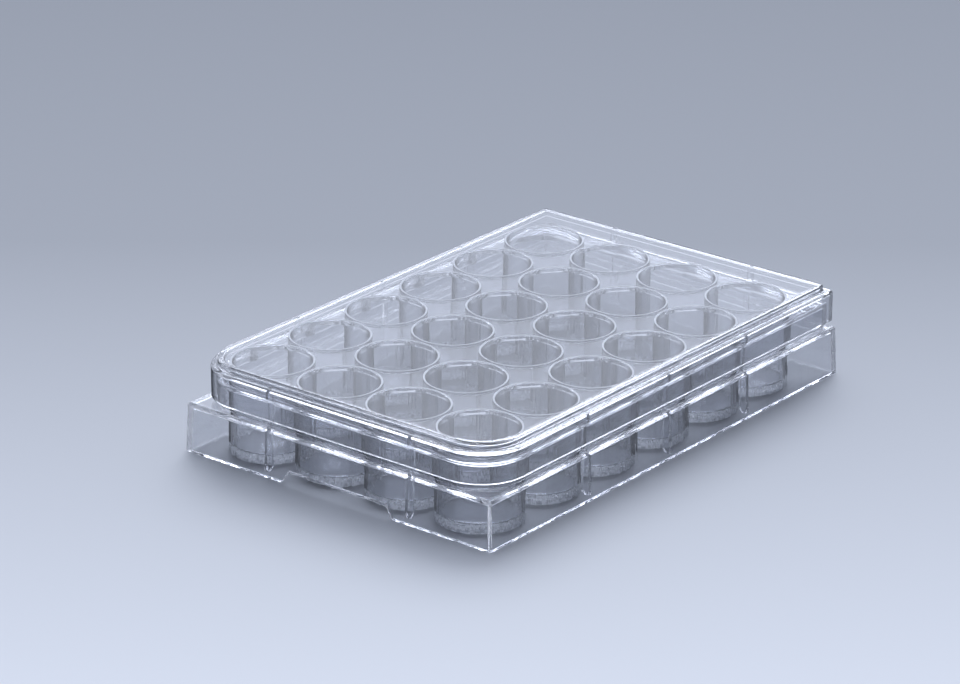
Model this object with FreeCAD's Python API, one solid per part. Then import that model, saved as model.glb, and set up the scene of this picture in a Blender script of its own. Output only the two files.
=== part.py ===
"""Clear moulded well plate with its loose lid: 24 flat-bottomed wells in a four by six grid.

Millimetres, +Z up.  The origin is the middle of the skirt's foot, on the surface the plate stands on.
+X runs along the long side, towards the square-cornered end; the lid's rounded corners are at the -X end.
"""
import FreeCAD, Part

import math
import os

from FreeCAD import Vector

# Footprint and skirt
base_length = 127.76       # along X, at the skirt's foot
base_width = 85.48         # along Y, at the skirt's foot
skirt_corner = 0.8         # outside corner radius of the skirt
skirt_wall = 1.2
skirt_height = 11.6        # from the foot to the top of the ledge
skirt_draft = 0.5          # how far each skirt face leans in between the foot and the ledge
foot_round = 0.4           # rounding of the skirt's foot
ledge_thickness = 1.4
ledge_round = 0.6
inner_corner = 0.3         # least radius of the corners inside the square-cornered walls

# Trapezoid notch in the foot of the skirt at the -X end
notch_centre_y = -0.5
notch_top_width = 27.5
notch_depth = 2.8
notch_slant = 1.7          # how much wider the notch is at the foot, on each side

# Upper wall and shelf, inside the lid
wall_inset = 2.3           # from the skirt's foot edge to the upper wall's outer face
upper_wall = 1.2
end_corner = 9.8           # outside corner radius at the -X end
square_corner = 0.5        # outside corner radius at the +X end
shelf_rise = 6.0           # from the ledge to the top of the shelf
shelf_thickness = 1.1

# Raised field that carries the wells
field_rise = 2.0           # from the shelf to the top of the field
field_thickness = 0.9
field_wall = 1.2
field_margin = 0.15        # from the outermost wells to the edge of the field

# Wells
well_bore = 17.7           # bore diameter at the rim
well_bore_draft = 0.15     # how much smaller the bore's radius is at the floor
well_wall = 0.5            # wall at the rim
well_gap = 0.6             # least space between two neighbouring wells
well_foot = 0.15           # height of the ring under a well above the table
well_foot_ring = 0.7       # width of that ring, which keeps the floor off the table
well_recess = 0.45         # depth of the recess inside the ring
well_floor = 1.0
well_floor_round = 1.2
well_foot_round = 0.2
rim_rise = 0.45            # from the field to the wells' rims
rim_round = 0.15
grid_margin = 4.3          # least distance from a well wall to the skirt foot edge

# Stacking ribs inside the skirt, and what continues them up inside the upper wall
rib_spacing_x = 29.0       # three ribs on each long side
rib_spacing_y = 39.4       # two ribs on each short side
rib_width = 1.1
rib_depth = 1.9
rib_lift = 1.2             # from the foot to the underside of a rib
rib_chamfer = 0.8
upper_rib_depth = 0.5

# Lid
lid_clearance = 0.3        # between the upper wall and the lid's inner face
lid_wall = 1.1
lid_lift = 1.4             # from the ledge to the lid's bottom edge
lid_square_corner = 0.8    # outside corner radius at the +X end
lid_edge_round = 0.3
flange_thickness = 1.1
flange_round = 0.7
panel_inset = 1.6          # from the lid's outer face to the raised panel
panel_rise = 1.5           # from the flange to the top of the panel
panel_thickness = 1.05
panel_side_wall = 1.05
panel_round = 0.5
panel_corner = 1.0         # panel corner radius at the +X end
lid_rib_width = 1.0
lid_rib_depth = 1.4        # the ribs stand on the plate's shelf and carry the lid
lid_headroom = 0.9         # from the wells' rims to the panel's underside

overrun = 1.0              # how far cutting shapes run past the faces they open
tolerance = 1e-4

# Worked-out sizes
bore_radius = well_bore / 2
well_radius = bore_radius + well_wall
pitch = 2 * well_radius + well_gap
half_length = base_length / 2
half_width = base_width / 2
columns = int((base_length - 2 * grid_margin + well_gap + tolerance) // pitch)
rows = int((base_width - 2 * grid_margin + well_gap + tolerance) // pitch)
first_x = -half_length + grid_margin + well_radius
column_x = [first_x + i * pitch for i in range(columns)]
row_y = [(j - (rows - 1) / 2) * pitch for j in range(rows)]
centres = [(x, y) for x in column_x for y in row_y]
ledge_underside = skirt_height - ledge_thickness
shelf_top = skirt_height + shelf_rise
shelf_underside = shelf_top - shelf_thickness
field_top = shelf_top + field_rise
rim_top = field_top + rim_rise
recess_top = well_foot + well_recess
floor_top = recess_top + well_floor
panel_underside = rim_top + lid_headroom
panel_top = panel_underside + panel_thickness
flange_top = panel_top - panel_rise
flange_underside = flange_top - flange_thickness
lid_bottom = skirt_height + lid_lift


def outline(low_x, high_x, half_y, low_radius, high_radius, z):
    """Closed rectangle at height z, with one corner radius at its -X end and one at its +X end."""
    wire_edges = []
    corners = [  # x, y, radius and where its arc starts, in degrees
        (low_x, -half_y, low_radius, 180),
        (high_x, -half_y, high_radius, 270),
        (high_x, half_y, high_radius, 0),
        (low_x, half_y, low_radius, 90),
    ]
    ends = []
    for x, y, radius, start in corners:
        inward_x = radius if x == low_x else -radius
        centre = Vector(x + inward_x, y - math.copysign(radius, y), z)
        points = []
        for turn in (0, 45, 90):
            angle = math.radians(start + turn)
            points.append(centre + Vector(radius * math.cos(angle), radius * math.sin(angle), 0))
        ends.append(points)
    for index, points in enumerate(ends):
        wire_edges.append(Part.Arc(*points).toShape())
        wire_edges.append(Part.LineSegment(points[2], ends[(index + 1) % 4][0]).toShape())
    return Part.Wire(wire_edges)


def inset_outline(inset, low_radius, high_radius, z):
    """Outline set in from the footprint by the same distance on all four sides."""
    return outline(-half_length + inset, half_length - inset, half_width - inset, low_radius, high_radius, z)


def prism(wire, height):
    return Part.Face(wire).extrude(Vector(0, 0, height))


def edges_at(shape, z):
    """All edges of a shape that lie in the plane at height z."""
    return [e for e in shape.Edges if max(abs(e.BoundBox.ZMin - z), abs(e.BoundBox.ZMax - z)) < tolerance]


def turned(points):
    """Solid of revolution about Z; a point with a third number starts an arc through the next point."""
    segments = []
    index = 0
    while index < len(points) - 1:
        here, ahead = points[index], points[index + 1]
        if len(ahead) == 3:
            segments.append(Part.Arc(spot(here), spot(ahead), spot(points[index + 2])).toShape())
            index += 2
        else:
            segments.append(Part.LineSegment(spot(here), spot(ahead)).toShape())
            index += 1
    segments.append(Part.LineSegment(spot(points[-1]), spot(points[0])).toShape())
    return Part.Face(Part.Wire(segments)).revolve(Vector(0, 0, 0), Vector(0, 0, 1), 360)


def spot(point):
    return Vector(point[0], 0, point[1])


def rounded_corner(r_out, z_out, radius, z_side):
    """Three points of a quarter arc in a turned profile, from the flat end at z_out to the side at r_out."""
    middle = radius * (1 - math.sqrt(0.5))
    return [
        (r_out - radius, z_out),
        (r_out - middle, z_out + z_side * middle, "arc"),
        (r_out, z_out + z_side * radius),
    ]


def at_wells(shape):
    """One copy of a shape on the axis of every well."""
    return [shape.translated(Vector(x, y, 0)) for x, y in centres]


def stations():
    """Places of the ribs: (point on the footprint edge, inward direction)."""
    places = []
    for side in (-1, 1):
        for step in (-0.5, 0.5):
            places.append((Vector(side * half_length, step * rib_spacing_y, 0), Vector(-side, 0, 0)))
        for step in (-1, 0, 1):
            places.append((Vector(step * rib_spacing_x, side * half_width, 0), Vector(0, -side, 0)))
    return places


def web(profile, width, place, inward):
    """Flat rib from a profile of (distance in from the footprint edge, height)."""
    across = Vector(-inward.y, inward.x, 0)
    start = place - across * (width / 2)
    points = [start + inward * u + Vector(0, 0, z) for u, z in profile]
    face = Part.Face(Part.makePolygon(points + points[:1]))
    return face.extrude(across * width)


def make_skirt():
    """Drafted skirt with the ledge across its top, still closed over the middle."""
    outer = Part.makeLoft([
        inset_outline(0, skirt_corner, skirt_corner, 0),
        inset_outline(skirt_draft, skirt_corner, skirt_corner, skirt_height),
    ], True, True)
    outer = outer.makeFillet(ledge_round, edges_at(outer, skirt_height))
    outer = outer.makeFillet(foot_round, edges_at(outer, 0))
    inner_draft = skirt_draft * ledge_underside / skirt_height
    inner = Part.makeLoft([
        inset_outline(skirt_wall, inner_corner, inner_corner, 0),
        inset_outline(skirt_wall + inner_draft, inner_corner, inner_corner, ledge_underside),
    ], True, True)
    return outer.cut(inner)


def make_notch():
    """Cutter for the trapezoid notch in the foot of the -X skirt face."""
    half_top = notch_top_width / 2
    half_foot = half_top + notch_slant
    flare = half_foot + notch_slant * overrun / notch_depth
    depth = 2 * skirt_wall
    x = -half_length - skirt_wall / 2
    points = [
        Vector(x, notch_centre_y - flare, -overrun),
        Vector(x, notch_centre_y - half_top, notch_depth),
        Vector(x, notch_centre_y + half_top, notch_depth),
        Vector(x, notch_centre_y + flare, -overrun),
    ]
    return Part.Face(Part.makePolygon(points + points[:1])).extrude(Vector(depth, 0, 0))


def field_outline(inset, z):
    """Edge of the raised field, just outside the outermost wells and rounded with them."""
    reach = well_radius + field_margin - inset
    return outline(column_x[0] - reach, column_x[-1] + reach, row_y[-1] + reach, reach, reach, z)


def make_tray():
    """Skirt, ledge, upper wall, shelf and raised field as one open shell."""
    tray = make_skirt()
    upper_edge = inset_outline(wall_inset, end_corner, square_corner, ledge_underside)
    upper = prism(upper_edge, shelf_top - ledge_underside)
    field = prism(field_outline(0, shelf_underside), field_top - shelf_underside)
    hollow_low = ledge_underside - overrun
    hollow = prism(
        inset_outline(wall_inset + upper_wall, end_corner - upper_wall, inner_corner, hollow_low),
        shelf_underside - hollow_low,
    )
    field_hollow = prism(
        field_outline(field_wall, shelf_underside - overrun),
        field_top - field_thickness - shelf_underside + overrun,
    )
    return tray.fuse([upper, field]).cut([hollow, field_hollow, make_notch()])


def make_well_body():
    """Outside of one well, from the ring under it to its rim, on the Z axis."""
    recess_radius = well_radius - well_foot_ring
    profile = [(0, recess_top), (recess_radius, recess_top), (recess_radius, well_foot)]
    profile += rounded_corner(well_radius, well_foot, well_foot_round, 1)
    profile += list(reversed(rounded_corner(well_radius, rim_top, rim_round, -1)))
    profile += [(0, rim_top)]
    return turned(profile)


def make_well_bore():
    """Space inside one well, open at the rim."""
    floor_radius = bore_radius - well_bore_draft
    above = rim_top + overrun
    profile = [(0, floor_top)]
    profile += rounded_corner(floor_radius, floor_top, well_floor_round, 1)
    profile += [(bore_radius, rim_top - rim_round), (bore_radius + rim_round, rim_top)]
    profile += [(bore_radius + rim_round, above), (0, above)]
    return turned(profile)


def make_plate_ribs():
    """Ribs inside the skirt that run up to the shelf."""
    inside = skirt_draft + (skirt_wall - skirt_draft) / 2
    lower = skirt_wall + rib_depth
    ledge_middle = skirt_height - ledge_thickness / 2
    wall_middle = wall_inset + upper_wall / 2
    upper = wall_inset + upper_wall + upper_rib_depth
    top = shelf_top - shelf_thickness / 2
    profile = [
        (inside, rib_lift),
        (lower - rib_chamfer, rib_lift),
        (lower, rib_lift + rib_chamfer),
        (lower, ledge_underside),
        (upper, ledge_underside),
        (upper, top),
        (wall_middle, top),
        (wall_middle, ledge_middle),
        (inside, ledge_middle),
    ]
    return [web(profile, rib_width, place, inward) for place, inward in stations()]


def make_plate():
    plate = make_tray().fuse(make_plate_ribs() + at_wells(make_well_body()))
    plate = plate.cut(at_wells(make_well_bore()))
    return plate.removeSplitter()


def make_lid():
    """Lid: a skirt round the upper wall, a narrow flange and a raised panel, on ribs."""
    inner_inset = wall_inset - lid_clearance
    outer_inset = inner_inset - lid_wall
    grow = lid_clearance + lid_wall

    low_outer = end_corner + grow
    outer_edge = inset_outline(outer_inset, low_outer, lid_square_corner, lid_bottom)
    outer = prism(outer_edge, flange_top - lid_bottom)
    outer = outer.makeFillet(flange_round, edges_at(outer, flange_top))
    outer = outer.makeFillet(lid_edge_round, edges_at(outer, lid_bottom))
    panel_edge = outer_inset + panel_inset
    low_panel = low_outer - panel_inset
    panel_outline = inset_outline(panel_edge, low_panel, panel_corner, flange_underside)
    panel = prism(panel_outline, panel_top - flange_underside)
    panel = panel.makeFillet(panel_round, edges_at(panel, panel_top))

    hollow = prism(
        inset_outline(inner_inset, end_corner + lid_clearance, inner_corner, lid_bottom - overrun),
        flange_underside - lid_bottom + overrun,
    )
    panel_hollow = prism(
        inset_outline(panel_edge + panel_side_wall, low_panel - panel_side_wall, inner_corner,
                      flange_underside - overrun),
        panel_underside - flange_underside + overrun,
    )
    lid = outer.fuse(panel).cut([hollow, panel_hollow])

    rib_profile = [
        (inner_inset - lid_wall / 2, shelf_top),
        (inner_inset + lid_rib_depth, shelf_top),
        (inner_inset + lid_rib_depth, flange_underside + flange_thickness / 2),
        (inner_inset - lid_wall / 2, flange_underside + flange_thickness / 2),
    ]
    ribs = [web(rib_profile, lid_rib_width, place, inward) for place, inward in stations()]
    return lid.fuse(ribs).removeSplitter()


def main():
    os.makedirs("parts", exist_ok=True)
    nodes = {"plate": make_plate(), "lid": make_lid()}
    for name, shape in nodes.items():
        print(name, "solids", len(shape.Solids), "valid", shape.isValid(), "volume", round(shape.Volume, 1))
        shape.exportStep(f"parts/{name}.step")
    print("wells", columns, "by", rows, "at a pitch of", round(pitch, 3))


main()
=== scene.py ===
"""Looks of the clear well plate and its lid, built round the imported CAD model.

Both mouldings are remade as fine closed meshes with rounded edges, in the CAD's own places and sizes,
and stand for the CAD nodes.  Sizes are millimetres unless a comment says otherwise; the finished meshes
are turned into metres.
"""

import math

import bpy
from mathutils import Matrix, Vector


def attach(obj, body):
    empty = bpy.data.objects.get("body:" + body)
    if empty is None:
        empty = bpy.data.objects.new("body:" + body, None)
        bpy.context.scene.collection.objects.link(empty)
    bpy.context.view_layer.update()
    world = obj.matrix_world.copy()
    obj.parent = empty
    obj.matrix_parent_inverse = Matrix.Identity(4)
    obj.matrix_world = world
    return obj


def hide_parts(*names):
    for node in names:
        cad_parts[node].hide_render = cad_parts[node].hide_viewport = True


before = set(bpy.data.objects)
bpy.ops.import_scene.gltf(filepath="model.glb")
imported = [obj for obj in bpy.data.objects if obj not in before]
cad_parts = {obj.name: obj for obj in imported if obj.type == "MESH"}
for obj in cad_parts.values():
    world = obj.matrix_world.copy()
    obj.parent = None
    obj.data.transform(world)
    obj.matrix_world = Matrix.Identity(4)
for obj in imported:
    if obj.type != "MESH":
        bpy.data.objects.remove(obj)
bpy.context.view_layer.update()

MM = 0.001

# Footprint and skirt
HALF_LENGTH = 63.88
HALF_WIDTH = 42.74
SKIRT_CORNER = 0.45
SKIRT_WALL = 1.2
SKIRT_DRAFT = 0.5
LEDGE_TOP = 11.6
LEDGE_UNDER = 10.2
LEDGE_ROUND = 0.6
FOOT_ROUND = 0.1           # edges of the skirt's foot
FOOT_FLAT = 0.2            # flat stretch inside the bevel
BEVEL_WIDTH = 0.62         # bevel under the skirt's foot
BEVEL_RISE = 0.34
NOTCH_MIDDLE = -0.5
NOTCH_HALF = 13.75
NOTCH_DEPTH = 2.8
NOTCH_SLANT = 1.7
OVER_NOTCH = (4, 5)        # heights at which the skirt's rings pass from notched to level

# Upper wall, shelf and field
WALL_INSET = 2.3
UPPER_WALL = 1.2
END_CORNER = 9.8
SQUARE_CORNER = 0.5
SHELF_TOP = 17.6
SHELF_UNDER = 16.5
FIELD_TOP = 19.6
FIELD_UNDER = 18.7
FIELD_WALL = 1.2
FIELD_MARGIN = 0.15

# Wells
BORE = 8.85                # radius at the rim
BORE_DRAFT = 0.15
WELL_WALL = 0.5
WELL_GAP = 0.6
WELL_FOOT = 0.15
FOOT_RING = 0.7
FOOT_BAND = 2.4            # mottled height of a well's outside
RECESS_TOP = 0.6
RECESS_ROUND = 0.15
RECESS_DRAFT = 0.05
WELL_FLOOR = 1.6
FLOOR_ROUND = 1.2
WELL_ROUND = 0.2           # outer edges of foot and rim
RIM_TOP = 20.05
RIM_INNER_ROUND = 0.25
RIM_FROST = 0.15           # matt band at the top of a rim
HOLE_OVERRUN = 1           # how far the holes for the wells pass shelf and field
GRID_MARGIN = 4.3
COLUMNS = 6
ROWS = 4

# Lid
LID_CLEARANCE = 0.3
LID_WALL = 1.1
LID_BOTTOM = 13.0
LID_BOTTOM_INNER_ROUND = 0.35
LID_BOTTOM_OUTER_ROUND = 0.15
LID_SQUARE_CORNER = 0.8
FLANGE_TOP = 20.5
FLANGE_UNDER = 19.4
FLANGE_ROUND = 0.7
PANEL_INSET = 1.6
PANEL_TOP = 22.0
PANEL_UNDER = 20.95
PANEL_SIDE = 1.05
PANEL_CORNER = 1.0
PANEL_ROUND = 0.5
PANEL_FOOT_ROUND = 0.4
PANEL_INNER_ROUND = 0.25

# Ribs
RIB_SPACING_X = 29.0
RIB_SPACING_Y = 39.4
RIB_WIDTH = 1.1
RIB_DEPTH = 1.9
RIB_LIFT = 1.2
RIB_CHAMFER = 0.8
UPPER_RIB_DEPTH = 0.5
LID_RIB_WIDTH = 1.0
LID_RIB_DEPTH = 1.4
RIB_GAP = 0.03             # air under the lid's ribs, so that their feet and the shelf stay two surfaces

# Small roundings and corners that several places share
INNER_CORNER = 0.3         # upright corners inside walls
LEAST_CORNER = 0.15
HOLLOW_ROUND = 0.3         # inside corners under field, shelf and ledge, and top edges of the steps
LIP_ROUND = 0.25           # lower edges inside the plate
STEP_ROUND = 0.2           # where a step rises from a flat, and inside the lid

# Flat stretches between a rounding and the next ring
FIELD_FLAT = 3
LEDGE_FLAT = 1.0
LID_FLAT = 0.8
SHELF_FLAT = 0.6
STEP_FLAT = 0.5
LID_INNER_FLAT = 0.3

# Mesh fineness
CORNER_STEPS = 20          # along a quarter turn of an outline
ROUND_STEPS = 5            # across a rounded edge
WELL_STEPS = 80            # round a well
SHARP_ANGLE = 32           # degrees between faces from which an edge stays sharp

SKIRT_LEAN = SKIRT_DRAFT / LEDGE_TOP
WALL_INNER = WALL_INSET + UPPER_WALL
WELL_RADIUS = BORE + WELL_WALL
PITCH = 2 * WELL_RADIUS + WELL_GAP
COLUMN_X = [-HALF_LENGTH + GRID_MARGIN + WELL_RADIUS + i * PITCH for i in range(COLUMNS)]
ROW_Y = [(j - (ROWS - 1) / 2) * PITCH for j in range(ROWS)]
NOTCH_STATIONS = [
    NOTCH_MIDDLE + NOTCH_HALF + NOTCH_SLANT,
    NOTCH_MIDDLE + NOTCH_HALF,
    NOTCH_MIDDLE - NOTCH_HALF,
    NOTCH_MIDDLE - NOTCH_HALF - NOTCH_SLANT,
]


# ---------------------------------------------------------------- profiles and outlines

def rounded(corners):
    """Points of a path whose corners (a, b, radius) are rounded by arcs; radius 0 keeps the corner."""
    path = []
    for index, (a, b, radius) in enumerate(corners):
        here = Vector((a, b))
        if radius == 0 or index in (0, len(corners) - 1):
            path.append(here)
            continue
        back = (Vector(corners[index - 1][:2]) - here).normalized()
        ahead = (Vector(corners[index + 1][:2]) - here).normalized()
        half = back.angle(ahead) / 2
        reach = radius / math.tan(half)
        centre = here + (back + ahead).normalized() * (radius / math.sin(half))
        start = here + back * reach - centre
        end = here + ahead * reach - centre
        turn = start.angle_signed(end)
        for step in range(ROUND_STEPS + 1):
            share = step / ROUND_STEPS
            spoke = Matrix.Rotation(-turn * share, 2) @ start
            path.append(centre + spoke)
    return path


def outline(low_x, high_x, half_y, low_radius, high_radius):
    """Points round a rectangle with one corner radius at each end, as (x, y), anticlockwise.

    The last four, along -X, are the stations of the notch, so that all outlines match."""
    points = []
    corners = (
        (low_x, -half_y, low_radius, 180),
        (high_x, -half_y, high_radius, 270),
        (high_x, half_y, high_radius, 0),
        (low_x, half_y, low_radius, 90),
    )
    for x, y, radius, start in corners:
        centre_x = x + radius if x == low_x else x - radius
        centre_y = y - math.copysign(radius, y)
        for step in range(CORNER_STEPS + 1):
            angle = math.radians(start + 90 * step / CORNER_STEPS)
            points.append((centre_x + radius * math.cos(angle), centre_y + radius * math.sin(angle)))
    for y in NOTCH_STATIONS:
        points.append((low_x, y))
    return points


def footprint_ring(inset, z, low_radius, high_radius, reference=0.0):
    """Ring at height z, set in from the footprint; radii are those at the reference inset."""
    low = max(low_radius - (inset - reference), LEAST_CORNER)
    high = max(high_radius - (inset - reference), LEAST_CORNER)
    flat = outline(-HALF_LENGTH + inset, HALF_LENGTH - inset, HALF_WIDTH - inset, low, high)
    return [(x, y, z) for x, y in flat]


def skirt_ring(inset, z):
    return footprint_ring(inset, z, SKIRT_CORNER, SKIRT_CORNER)


def skirt_inner_ring(inset, z):
    return footprint_ring(inset, z, INNER_CORNER, INNER_CORNER, SKIRT_WALL)


def with_notch(ring):
    """A foot ring lifted between the notch's two inner stations, and drawn in with the skirt's draft."""
    lifted = list(ring)
    for index in (-3, -2):
        x, y, z = lifted[index]
        lifted[index] = (x + SKIRT_LEAN * NOTCH_DEPTH, y, z + NOTCH_DEPTH)
    return lifted


def foot_ring(inset, z):
    return with_notch(skirt_ring(inset, z))


def foot_inner_ring(inset, z):
    return with_notch(skirt_inner_ring(inset, z))


def wall_ring(inset, z):
    return footprint_ring(inset, z, END_CORNER, SQUARE_CORNER, WALL_INSET)


def wall_inner_ring(inset, z):
    return footprint_ring(inset, z, END_CORNER - UPPER_WALL, INNER_CORNER, WALL_INNER)


def field_ring(inset, z):
    """Ring round the raised field, set in from its outer edge."""
    reach = WELL_RADIUS + FIELD_MARGIN - inset
    flat = outline(COLUMN_X[0] - reach, COLUMN_X[-1] + reach, ROW_Y[-1] + reach, reach, reach)
    return [(x, y, z) for x, y in flat]


# ---------------------------------------------------------------- meshes

def new_mesh(name, vertices, faces):
    mesh = bpy.data.meshes.new(name)
    mesh.from_pydata(vertices, [], faces)
    mesh.validate()
    mesh.update()
    piece = bpy.data.objects.new(name, mesh)
    bpy.context.scene.collection.objects.link(piece)
    return piece


def solid_from_rings(name, rings):
    """Closed mesh through rings of equal count, capped at both ends."""
    count = len(rings[0])
    vertices = [point for ring in rings for point in ring]
    faces = []
    for layer in range(len(rings) - 1):
        low = layer * count
        high = low + count
        for i in range(count):
            j = (i + 1) % count
            faces.append((low + i, low + j, high + j, high + i))
    last = len(vertices) - count
    faces.append(tuple(reversed(range(count))))
    faces.append(tuple(range(last, last + count)))
    return new_mesh(name, vertices, faces)


def turned(name, profile):
    """A solid turned about each well's axis, from a profile of (radius, height), capped at both ends."""
    vertices = []
    faces = []
    for centre_x in COLUMN_X:
        for centre_y in ROW_Y:
            base = len(vertices)
            for r, z in profile:
                for step in range(WELL_STEPS):
                    angle = 2 * math.pi * step / WELL_STEPS
                    vertices.append((centre_x + r * math.cos(angle), centre_y + r * math.sin(angle), z))
            last = len(vertices) - WELL_STEPS
            for low in range(base, last, WELL_STEPS):
                high = low + WELL_STEPS
                for i in range(WELL_STEPS):
                    j = (i + 1) % WELL_STEPS
                    faces.append((low + i, low + j, high + j, high + i))
            faces.append(tuple(reversed(range(base, base + WELL_STEPS))))
            faces.append(tuple(range(last, last + WELL_STEPS)))
    return new_mesh(name, vertices, faces)


def rib_places():
    """Places of the ribs on the footprint's edge, each with its inward direction."""
    places = []
    for side in (-1, 1):
        for step in (-0.5, 0.5):
            places.append((Vector((side * HALF_LENGTH, step * RIB_SPACING_Y, 0)), Vector((-side, 0, 0))))
        for step in (-1, 0, 1):
            places.append((Vector((step * RIB_SPACING_X, side * HALF_WIDTH, 0)), Vector((0, -side, 0))))
    return places


def webs(name, profile, width):
    """A flat rib at every place, from a profile of (distance in from the footprint, height)."""
    vertices = []
    faces = []
    count = len(profile)
    for place, inward in rib_places():
        across = Vector((-inward.y, inward.x, 0))
        base = len(vertices)
        for side in (-0.5, 0.5):
            for u, z in profile:
                vertices.append(tuple(place + across * width * side + inward * u + Vector((0, 0, z))))
        for i in range(count):
            j = (i + 1) % count
            faces.append((base + i, base + j, base + count + j, base + count + i))
        faces.append(tuple(base + i for i in reversed(range(count))))
        faces.append(tuple(base + count + i for i in range(count)))
    return new_mesh(name, vertices, faces)


def outward(piece):
    """Turns a closed mesh's faces outwards if its volume reads as negative."""
    mesh = piece.data
    mesh.calc_loop_triangles()
    volume = 0.0
    for triangle in mesh.loop_triangles:
        a, b, c = [mesh.vertices[i].co for i in triangle.vertices]
        volume += a.dot(b.cross(c)) / 6
    if volume < 0:
        mesh.flip_normals()
    return piece


def combined(base, others, operation):
    """The base joined with, or cut by, each of the others, which are then removed."""
    for other in others:
        modifier = base.modifiers.new(other.name, "BOOLEAN")
        modifier.operation = operation
        modifier.solver = "MANIFOLD"
        modifier.object = other
    graph = bpy.context.evaluated_depsgraph_get()
    mesh = bpy.data.meshes.new_from_object(base.evaluated_get(graph))
    base.modifiers.clear()
    base.data = mesh
    for other in others:
        bpy.data.objects.remove(other)
    return base


def finish_mesh(piece):
    """Metres, smooth faces split at sharp edges, and normals that keep flat faces flat."""
    mesh = piece.data
    mesh.materials.clear()
    mesh.transform(Matrix.Scale(MM, 4))
    mesh.polygons.foreach_set("use_smooth", [True] * len(mesh.polygons))
    mesh.set_sharp_from_angle(angle=math.radians(SHARP_ANGLE))
    weighted = piece.modifiers.new("normals", "WEIGHTED_NORMAL")
    weighted.mode = "FACE_AREA"
    weighted.keep_sharp = True
    mesh.update()
    return piece


# ---------------------------------------------------------------- plate

def make_tray():
    """Skirt, ledge, upper wall, shelf and field, as rings from the field's underside round the foot to
    the field's top."""
    low, high = OVER_NOTCH
    skirt_inner = SKIRT_WALL + SKIRT_LEAN * LEDGE_UNDER
    stretches = (
        # down the inside
        (field_ring, rounded([
            (FIELD_WALL + FIELD_FLAT, FIELD_UNDER, 0), (FIELD_WALL, FIELD_UNDER, HOLLOW_ROUND),
            (FIELD_WALL, SHELF_UNDER, LIP_ROUND), (FIELD_WALL - SHELF_FLAT, SHELF_UNDER, 0)])),
        (wall_inner_ring, rounded([
            (WALL_INNER + SHELF_FLAT, SHELF_UNDER, 0), (WALL_INNER, SHELF_UNDER, HOLLOW_ROUND),
            (WALL_INNER, LEDGE_UNDER, LIP_ROUND), (WALL_INNER - STEP_FLAT, LEDGE_UNDER, 0)])),
        (skirt_inner_ring, rounded([
            (skirt_inner + STEP_FLAT, LEDGE_UNDER, 0), (skirt_inner, LEDGE_UNDER, HOLLOW_ROUND),
            (SKIRT_WALL + SKIRT_LEAN * high, high, 0)])),
        # round the foot
        (foot_inner_ring, rounded([
            (SKIRT_WALL + SKIRT_LEAN * low, low, 0), (SKIRT_WALL, BEVEL_RISE, FOOT_ROUND),
            (BEVEL_WIDTH + FOOT_FLAT, BEVEL_RISE, 0)])[1:]),
        (foot_ring, rounded([
            (BEVEL_WIDTH + FOOT_FLAT, BEVEL_RISE, 0), (BEVEL_WIDTH, BEVEL_RISE, FOOT_ROUND),
            (0, 0, FOOT_ROUND), (SKIRT_LEAN * low, low, 0)])[1:-1]),
        # up the outside
        (skirt_ring, rounded([
            (SKIRT_LEAN * high, high, 0), (SKIRT_DRAFT, LEDGE_TOP, LEDGE_ROUND),
            (SKIRT_DRAFT + LEDGE_FLAT, LEDGE_TOP, 0)])),
        (wall_ring, rounded([
            (WALL_INSET - STEP_FLAT, LEDGE_TOP, 0), (WALL_INSET, LEDGE_TOP, STEP_ROUND),
            (WALL_INSET, SHELF_TOP, HOLLOW_ROUND), (WALL_INSET + SHELF_FLAT, SHELF_TOP, 0)])),
        (field_ring, rounded([
            (-STEP_FLAT, SHELF_TOP, 0), (0, SHELF_TOP, STEP_ROUND),
            (0, FIELD_TOP, HOLLOW_ROUND), (SHELF_FLAT, FIELD_TOP, 0)])),
    )
    rings = [ring(inset, z) for ring, path in stretches for inset, z in path]
    return outward(solid_from_rings("plate_moulding", rings))


def make_cups():
    """The wells, with floors and foot rings, as closed cups."""
    recess = WELL_RADIUS - FOOT_RING
    path = rounded([
        (0, RECESS_TOP, 0), (recess, RECESS_TOP, RECESS_ROUND),
        (recess + RECESS_DRAFT, WELL_FOOT, RECESS_ROUND), (WELL_RADIUS, WELL_FOOT, WELL_ROUND),
        (WELL_RADIUS, FOOT_BAND, 0), (WELL_RADIUS, RIM_TOP, WELL_ROUND), (BORE, RIM_TOP, RIM_INNER_ROUND),
        (BORE - BORE_DRAFT, WELL_FLOOR, FLOOR_ROUND), (0, WELL_FLOOR, 0)])
    return outward(turned("cups", [tuple(point) for point in path[1:-1]]))


def make_plate():
    """The tray with a hole for each well, joined with the wells and the ribs inside the skirt."""
    tray = make_tray()
    hole = BORE + WELL_WALL / 2
    hole_low = SHELF_UNDER - HOLE_OVERRUN
    hole_high = FIELD_TOP + HOLE_OVERRUN
    holes = outward(turned("holes", [(hole, hole_low), (hole, hole_high)]))
    cups = make_cups()

    ledge_middle = (LEDGE_TOP + LEDGE_UNDER) / 2
    shelf_middle = (SHELF_TOP + SHELF_UNDER) / 2
    wall_middle = WALL_INSET + UPPER_WALL / 2
    inside = (SKIRT_DRAFT + SKIRT_WALL) / 2
    lower = SKIRT_WALL + RIB_DEPTH
    upper = WALL_INNER + UPPER_RIB_DEPTH
    ribs = outward(webs("ribs", [
        (inside, RIB_LIFT), (lower - RIB_CHAMFER, RIB_LIFT), (lower, RIB_LIFT + RIB_CHAMFER),
        (lower, LEDGE_UNDER), (upper, LEDGE_UNDER), (upper, shelf_middle), (wall_middle, shelf_middle),
        (wall_middle, ledge_middle), (inside, ledge_middle)], RIB_WIDTH))
    plate = combined(tray, [holes], "DIFFERENCE")
    return combined(plate, [ribs, cups], "UNION")


# ---------------------------------------------------------------- lid

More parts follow.
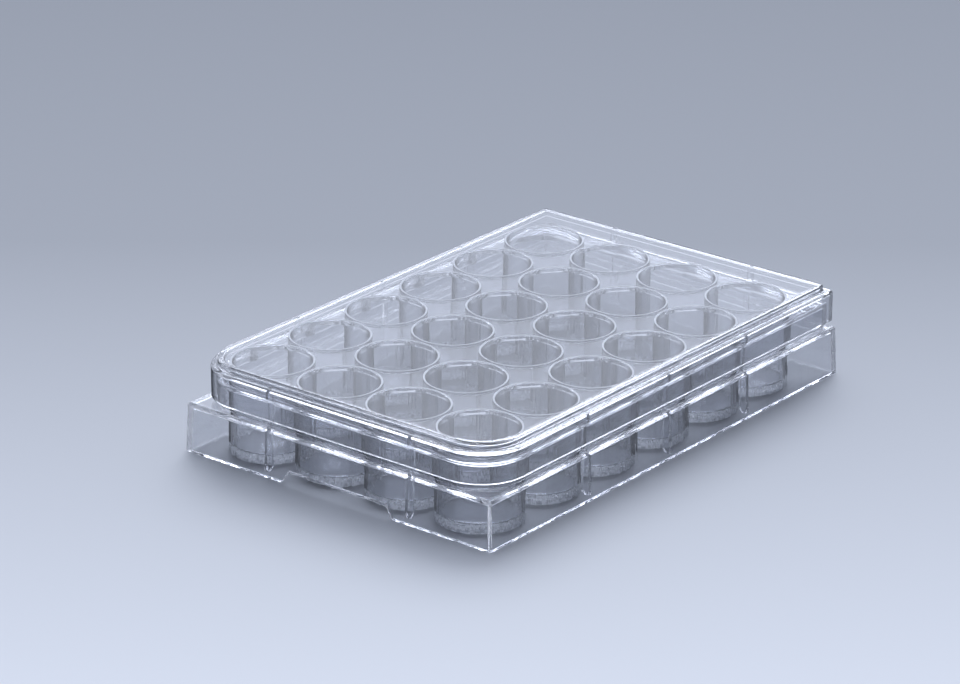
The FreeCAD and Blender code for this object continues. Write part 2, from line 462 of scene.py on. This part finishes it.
def make_lid():
    """Wall, flange and panel, as rings from the panel's underside round the wall's foot to the panel's top,
    and the ribs it stands on."""
    inner = WALL_INSET - LID_CLEARANCE
    outer = inner - LID_WALL
    middle = (inner + outer) / 2
    end_corner = END_CORNER + LID_CLEARANCE + LID_WALL
    panel = outer + PANEL_INSET
    panel_inner = panel + PANEL_SIDE

    def panel_inner_ring(inset, z):
        return footprint_ring(inset, z, end_corner - PANEL_INSET - PANEL_SIDE, INNER_CORNER, panel_inner)

    def inner_ring(inset, z):
        return footprint_ring(inset, z, end_corner - LID_WALL, INNER_CORNER, inner)

    def outer_ring(inset, z):
        return footprint_ring(inset, z, end_corner, LID_SQUARE_CORNER, outer)

    def panel_ring(inset, z):
        return footprint_ring(inset, z, end_corner - PANEL_INSET, PANEL_CORNER, panel)

    stretches = (
        (panel_inner_ring, rounded([
            (panel_inner + LID_FLAT, PANEL_UNDER, 0), (panel_inner, PANEL_UNDER, PANEL_INNER_ROUND),
            (panel_inner, FLANGE_UNDER, STEP_ROUND), (panel_inner - LID_INNER_FLAT, FLANGE_UNDER, 0)])),
        (inner_ring, rounded([
            (inner + LID_INNER_FLAT, FLANGE_UNDER, 0), (inner, FLANGE_UNDER, STEP_ROUND),
            (inner, LID_BOTTOM, LID_BOTTOM_INNER_ROUND), (middle, LID_BOTTOM, 0)])[:-1]),
        (outer_ring, rounded([
            (middle, LID_BOTTOM, 0), (outer, LID_BOTTOM, LID_BOTTOM_OUTER_ROUND),
            (outer, FLANGE_TOP, FLANGE_ROUND), (outer + LID_FLAT, FLANGE_TOP, 0)])),
        (panel_ring, rounded([
            (panel - STEP_FLAT, FLANGE_TOP, 0), (panel, FLANGE_TOP, PANEL_FOOT_ROUND),
            (panel, PANEL_TOP, PANEL_ROUND), (panel + LID_FLAT, PANEL_TOP, 0)])),
    )
    rings = [ring(inset, z) for ring, path in stretches for inset, z in path]
    shell = outward(solid_from_rings("lid_moulding", rings))

    reach = inner + LID_RIB_DEPTH
    top = (FLANGE_TOP + FLANGE_UNDER) / 2
    foot = SHELF_TOP + RIB_GAP
    profile = [(middle, foot), (reach, foot), (reach, top), (middle, top)]
    ribs = outward(webs("lid_ribs", profile, LID_RIB_WIDTH))
    return combined(shell, [ribs], "UNION")


# ---------------------------------------------------------------- nodes

def new_material(name):
    """A node material with a Principled shader and an output, and its nodes and links."""
    material = bpy.data.materials.new(name)
    material.use_nodes = True
    return material, material.node_tree.nodes, material.node_tree.links


def maths(nodes, links, operation, first, second):
    """Result of one arithmetic node; each input is a number or another node's output."""
    node = nodes.new("ShaderNodeMath")
    node.operation = operation
    for socket, value in zip(node.inputs, (first, second)):
        if isinstance(value, (int, float)):
            socket.default_value = value
        else:
            links.new(value, socket)
    return node.outputs["Value"]


def along(nodes, links, vector, axis):
    """How far a vector goes along an axis."""
    node = nodes.new("ShaderNodeVectorMath")
    node.operation = "DOT_PRODUCT"
    node.inputs[1].default_value = axis
    links.new(vector, node.inputs[0])
    return node.outputs["Value"]


def tones(nodes, links, factor, *stops):
    """Colour ramp over a value from 0 to 1, through stops of (position, colour) in rising order."""
    node = nodes.new("ShaderNodeValToRGB")
    elements = node.color_ramp.elements
    for position, colour in stops[1:-1]:
        elements.new(position).color = (*colour, 1)
    for element, (position, colour) in ((elements[0], stops[0]), (elements[-1], stops[-1])):
        element.position = position
        element.color = (*colour, 1)
    links.new(factor, node.inputs["Fac"])
    return node.outputs["Color"]


def grey(level):
    return (level, level, level)


def scaled_noise(nodes, links, vector, stretch, detail):
    """Noise over object space, with its own scale along each axis, per metre."""
    mapping = nodes.new("ShaderNodeMapping")
    mapping.inputs["Scale"].default_value = stretch
    links.new(vector, mapping.inputs["Vector"])
    noise = nodes.new("ShaderNodeTexNoise")
    noise.inputs["Scale"].default_value = 1.0
    noise.inputs["Detail"].default_value = detail
    links.new(mapping.outputs["Vector"], noise.inputs["Vector"])
    return noise.outputs["Fac"]


def ripple(nodes, links, height, strength, distance, below=None):
    """Bump from a height value, laid over an earlier bump's normal; the distance is in metres."""
    bump = nodes.new("ShaderNodeBump")
    bump.inputs["Distance"].default_value = distance
    bump.inputs["Strength"].default_value = strength
    links.new(height, bump.inputs["Height"])
    if below is not None:
        links.new(below, bump.inputs["Normal"])
    return bump.outputs["Normal"]


def mixed(nodes, links, factor, first, second):
    """Two shaders mixed by a number or another node's output."""
    mix = nodes.new("ShaderNodeMixShader")
    if isinstance(factor, (int, float)):
        mix.inputs["Fac"].default_value = factor
    else:
        links.new(factor, mix.inputs["Fac"])
    links.new(first, mix.inputs[1])
    links.new(second, mix.inputs[2])
    return mix.outputs["Shader"]


# ---------------------------------------------------------------- materials

IOR = 1.59                     # polystyrene
FLOW = (120, 120, 120)         # noise scales, per metre
STREAKS = (600, 600, 30)
PITS = (550, 550, 550)
PATCHES = (1200, 1200, 1200)
GRAIN = (4000, 4000, 4000)
WAVE_HEIGHT = 0.0002           # bump distances, in metres
PIT_HEIGHT = 0.0006
PATCH_HEIGHT = 0.002
GRAIN_HEIGHT = 0.00005
PIT_STRENGTH = 0.5
GRAIN_STRENGTH = 0.2
PATCH_EDGE = 0.25              # how gradually matt patches turn clear, in noise
SILHOUETTE_SHADE = (0.03, 0.032, 0.04, 1)  # painted shade mixed into outer silhouettes


def clear_plastic(name, waviness, streakiness, painted_edge_shade):
    """Polished clear polystyrene with faint flow waviness, drawn streaks on upright walls and pits on its
    roundings, and painted shade that darkens it where it is seen edge-on.  Light passes it to the floor."""
    material, nodes, links = new_material(name)
    shader = nodes["Principled BSDF"]
    shader.inputs["Roughness"].default_value = 0.0
    shader.inputs["IOR"].default_value = IOR
    shader.inputs["Transmission Weight"].default_value = 1.0

    surface = nodes.new("ShaderNodeNewGeometry")
    parts = nodes.new("ShaderNodeSeparateXYZ")
    links.new(surface.outputs["True Normal"], parts.inputs["Vector"])
    level = maths(nodes, links, "ABSOLUTE", parts.outputs["Z"], 0)
    upright = maths(nodes, links, "SUBTRACT", 1, level)
    slanted = maths(nodes, links, "MULTIPLY", level, upright)

    facing = nodes.new("ShaderNodeLayerWeight").outputs["Facing"]
    edge_on = maths(nodes, links, "MULTIPLY", facing, upright)
    # painted shade: the colour goes from the plastic's own faint tint face-on to near black where upright
    # walls are seen edge-on
    tint_and_edge_shade = tones(nodes, links, edge_on, (0.0, (0.94, 0.945, 0.96)), (0.05, (0.88, 0.885, 0.905)),
                 (0.4, (0.86, 0.87, 0.89)), (0.6, (0.55, 0.56, 0.59)), (0.75, (0.10, 0.105, 0.12)),
                 (1.0, (0.01, 0.01, 0.013)))
    links.new(tint_and_edge_shade, shader.inputs["Base Color"])

    place = nodes.new("ShaderNodeTexCoord").outputs["Object"]
    flow = scaled_noise(nodes, links, place, FLOW, 3)
    normal = ripple(nodes, links, flow, waviness, WAVE_HEIGHT)
    streaks = maths(nodes, links, "MULTIPLY", scaled_noise(nodes, links, place, STREAKS, 2), upright)
    normal = ripple(nodes, links, streaks, streakiness, WAVE_HEIGHT, normal)
    pits = maths(nodes, links, "MULTIPLY", scaled_noise(nodes, links, place, PITS, 3), slanted)
    normal = ripple(nodes, links, pits, PIT_STRENGTH, PIT_HEIGHT, normal)
    links.new(normal, shader.inputs["Normal"])

    # painted shade: outer silhouettes of upright walls are mixed towards a dark diffuse colour
    outside = maths(nodes, links, "SUBTRACT", 1, surface.outputs["Backfacing"])
    silhouette = maths(nodes, links, "MULTIPLY", edge_on, outside)
    shade = tones(nodes, links, silhouette, (0.55, grey(0)), (0.8, grey(painted_edge_shade)))
    dark = nodes.new("ShaderNodeBsdfDiffuse")
    dark.inputs["Color"].default_value = SILHOUETTE_SHADE
    body = mixed(nodes, links, shade, shader.outputs["BSDF"], dark.outputs["BSDF"])

    # light for the floor is weakened where it enters, most where it grazes a wall
    entering = tones(nodes, links, facing, (0.0, (0.91, 0.914, 0.924)), (0.6, (0.55, 0.56, 0.58)),
                     (1.0, (0.01, 0.01, 0.015)))
    passing = nodes.new("ShaderNodeMix")
    passing.data_type = "RGBA"
    links.new(surface.outputs["Backfacing"], passing.inputs["Factor"])
    links.new(entering, passing.inputs["A"])
    passing.inputs["B"].default_value = (0.98, 0.98, 0.98, 1)
    light_pass = nodes.new("ShaderNodeBsdfTransparent")
    links.new(passing.outputs["Result"], light_pass.inputs["Color"])
    path = nodes.new("ShaderNodeLightPath")
    shadow, diffuse = path.outputs["Is Shadow Ray"], path.outputs["Is Diffuse Ray"]
    floor_light = maths(nodes, links, "MAXIMUM", shadow, diffuse)
    both = mixed(nodes, links, floor_light, body, light_pass.outputs["BSDF"])
    links.new(both, nodes["Material Output"].inputs["Surface"])
    return material


def matt_plastic(name, clear_from, roughness, lumps, through):
    """The same polystyrene where the mould left it matt; patches above `clear_from` are polished through.

    `through` is the share of the matt patches' light that comes from behind them."""
    material, nodes, links = new_material(name)
    shader = nodes["Principled BSDF"]
    shader.inputs["IOR"].default_value = IOR
    shader.inputs["Transmission Weight"].default_value = 1.0
    place = nodes.new("ShaderNodeTexCoord").outputs["Object"]
    patches = scaled_noise(nodes, links, place, PATCHES, 3)
    grain = scaled_noise(nodes, links, place, GRAIN, 2)
    colour = tones(nodes, links, grain, (0.3, (0.86, 0.88, 0.92)), (0.7, (0.93, 0.94, 0.96)))
    links.new(colour, shader.inputs["Base Color"])
    gloss = tones(nodes, links, grain, (0.3, grey(roughness)), (0.7, grey(roughness + 0.2)))
    links.new(gloss, shader.inputs["Roughness"])
    normal = ripple(nodes, links, grain, GRAIN_STRENGTH, GRAIN_HEIGHT)
    normal = ripple(nodes, links, patches, lumps, PATCH_HEIGHT, normal)
    links.new(normal, shader.inputs["Normal"])

    front = nodes.new("ShaderNodeBsdfDiffuse")
    behind = nodes.new("ShaderNodeBsdfTranslucent")
    for scatter in (front, behind):
        links.new(colour, scatter.inputs["Color"])
    matt = mixed(nodes, links, through, front.outputs["BSDF"], behind.outputs["BSDF"])
    clear = tones(nodes, links, patches, (clear_from, grey(0.05)), (clear_from + PATCH_EDGE, grey(1)))
    both = mixed(nodes, links, clear, matt, shader.outputs["BSDF"])
    links.new(both, nodes["Material Output"].inputs["Surface"])
    return material


# ---------------------------------------------------------------- which faces are which

OUTER_SLACK = 0.02             # beyond a well's outer radius
OUTER_DEPTH = 0.05             # in from it, still its outside
BORE_DEPTH = 0.2               # in from the bore, for its draft
RING_DEPTH = 0.2               # in from the foot ring, for the recess's rounding
RECESS_SLACK = 0.01            # above the recess


def from_well_axis(middle):
    column = min(COLUMN_X, key=lambda x: abs(x - middle.x))
    row = min(ROW_Y, key=lambda y: abs(y - middle.y))
    return math.hypot(middle.x - column, middle.y - row)


def is_rim(middle):
    return middle.z > RIM_TOP - RIM_FROST


def is_well_wall(middle):
    return middle.z < RIM_TOP and BORE - BORE_DEPTH < from_well_axis(middle) < WELL_RADIUS + OUTER_SLACK


def is_well_foot(middle):
    """Ring under a well, and the low band round its outside."""
    reach = from_well_axis(middle)
    outside = WELL_RADIUS - OUTER_DEPTH
    ring = middle.z < RECESS_TOP + RECESS_SLACK and WELL_RADIUS - FOOT_RING - RING_DEPTH < reach < outside
    band = middle.z < FOOT_BAND and outside < reach < WELL_RADIUS + OUTER_SLACK
    return ring or band


def mark_faces(piece, material, wanted):
    """Gives the faces whose middle passes the test this material."""
    mesh = piece.data
    mesh.materials.append(material)
    for polygon in mesh.polygons:
        if wanted(polygon.center / MM):
            polygon.material_index = len(mesh.materials) - 1


# ---------------------------------------------------------------- stage

FLOOR_GAP = 0.05               # air between the skirt's foot and the floor
FLOOR_HALF = 4.0               # metres
FLOOR_NEAR = -0.15             # metres along the view, where the floor's painted light is palest
FLOOR_FAR = 0.32               # and darkest
CAMERA_AT = Vector((-0.67454, -0.52707, 0.36130))
CAMERA_YAW = 0.6735
CAMERA_PITCH = -0.3828
CAMERA_ROLL = 0.0037
CAMERA_LENS = 155.05
CAMERA_SENSOR = 36
CAMERA_REACH = 20
KEY_LIGHT = (30, 45)           # azimuth and elevation in degrees
BOUNCES = 128                  # enough to leave a lidded plate through all its walls
SHADOW_WALLS = 64              # walls that light for the floor may pass


def direction(azimuth, elevation):
    """Unit vector towards a direction given in radians."""
    level = math.cos(elevation)
    return Vector((level * math.cos(azimuth), level * math.sin(azimuth), math.sin(elevation)))


def make_camera():
    data = bpy.data.cameras.new("camera")
    data.lens = CAMERA_LENS
    data.sensor_width = CAMERA_SENSOR
    data.clip_end = CAMERA_REACH
    camera = bpy.data.objects.new("camera", data)
    ahead = direction(CAMERA_YAW, CAMERA_PITCH)
    right = Vector((math.sin(CAMERA_YAW), -math.cos(CAMERA_YAW), 0))
    up = right.cross(ahead)
    right_rolled = right * math.cos(CAMERA_ROLL) + up * math.sin(CAMERA_ROLL)
    up_rolled = up * math.cos(CAMERA_ROLL) - right * math.sin(CAMERA_ROLL)
    basis = Matrix((right_rolled, up_rolled, -ahead)).transposed()
    camera.matrix_world = Matrix.Translation(CAMERA_AT) @ basis.to_4x4()
    bpy.context.scene.collection.objects.link(camera)
    bpy.context.scene.camera = camera


def make_floor():
    """A level floor, with painted light: paler towards the near side of the stage."""
    top = -FLOOR_GAP * MM
    signs = ((-1, -1), (1, -1), (1, 1), (-1, 1))
    corners = [(x * FLOOR_HALF, y * FLOOR_HALF, top) for x, y in signs]
    floor = new_mesh("floor", corners, [(0, 1, 2, 3)])
    material, nodes, links = new_material("floor_painted_light")
    shader = nodes["Principled BSDF"]
    place = nodes.new("ShaderNodeTexCoord").outputs["Object"]
    span = nodes.new("ShaderNodeMapRange")
    span.inputs["From Min"].default_value = FLOOR_NEAR
    span.inputs["From Max"].default_value = FLOOR_FAR
    links.new(along(nodes, links, place, direction(CAMERA_YAW, 0)), span.inputs["Value"])
    # painted light: the floor's colour falls from pale on the near side to dark farther along the view
    colour = tones(nodes, links, span.outputs["Result"], (0.0, (0.725, 0.741, 0.766)),
                   (0.25, (0.558, 0.572, 0.597)), (0.55, (0.366, 0.379, 0.403)), (1.0, (0.302, 0.315, 0.339)))
    links.new(colour, shader.inputs["Base Color"])
    shader.inputs["Roughness"].default_value = 0.8
    shader.inputs["Specular IOR Level"].default_value = 0.2
    floor.data.materials.append(material)


def make_light():
    """A studio that is dark behind the camera and pale beyond the plate, with a compact key light there and
    a broad light overhead."""
    world = bpy.data.worlds.new("studio")
    bpy.context.scene.world = world
    world.use_nodes = True
    nodes = world.node_tree.nodes
    links = world.node_tree.links
    place = nodes.new("ShaderNodeTexCoord").outputs["Generated"]
    azimuth, elevation = map(math.radians, KEY_LIGHT)
    nearness = along(nodes, links, place, direction(azimuth, elevation))
    colour = tones(nodes, links, nearness, (0.0, (0.039, 0.043, 0.054)), (0.4, (0.075, 0.081, 0.10)),
                   (0.6, (0.25, 0.27, 0.325)), (0.72, (0.52, 0.56, 0.66)), (0.82, (0.82, 0.88, 1.03)),
                   (0.942, (0.97, 1.04, 1.21)), (0.96, (6.6, 7.0, 8.0)), (1.0, (7.0, 7.45, 8.4)))
    links.new(colour, nodes["Background"].inputs["Color"])
    height = along(nodes, links, place, (0, 0, 1))
    overhead = tones(nodes, links, height, (0.88, grey(1)), (0.95, grey(3)))
    links.new(overhead, nodes["Background"].inputs["Strength"])


make_camera()
make_floor()
make_light()
plate = finish_mesh(make_plate())
lid = finish_mesh(make_lid())
plate_clear = clear_plastic("plate_clear", waviness=0.04, streakiness=0.4, painted_edge_shade=0.4)
lid_clear = clear_plastic("lid_clear", waviness=0.02, streakiness=0.03, painted_edge_shade=0.8)
wells_clear = clear_plastic("wells_clear", waviness=0.04, streakiness=0.4, painted_edge_shade=0.92)
matt_rims = matt_plastic("moulded_edges", clear_from=0.5, roughness=0.3, lumps=0.0, through=0.0)
mottled_feet = matt_plastic("moulded_feet", clear_from=0.4, roughness=0.05, lumps=1.0, through=0.8)
plate.data.materials.append(plate_clear)
lid.data.materials.append(lid_clear)
mark_faces(plate, wells_clear, is_well_wall)
mark_faces(plate, matt_rims, is_rim)
mark_faces(plate, mottled_feet, is_well_foot)
for piece, node in ((plate, "plate"), (lid, "lid")):
    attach(piece, "root")
    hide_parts(node)

scene = bpy.context.scene
scene.view_settings.view_transform = "Standard"
scene.cycles.caustics_reflective = False
scene.cycles.caustics_refractive = False
scene.cycles.max_bounces = BOUNCES
scene.cycles.transmission_bounces = BOUNCES
scene.cycles.glossy_bounces = BOUNCES
scene.cycles.transparent_max_bounces = SHADOW_WALLS
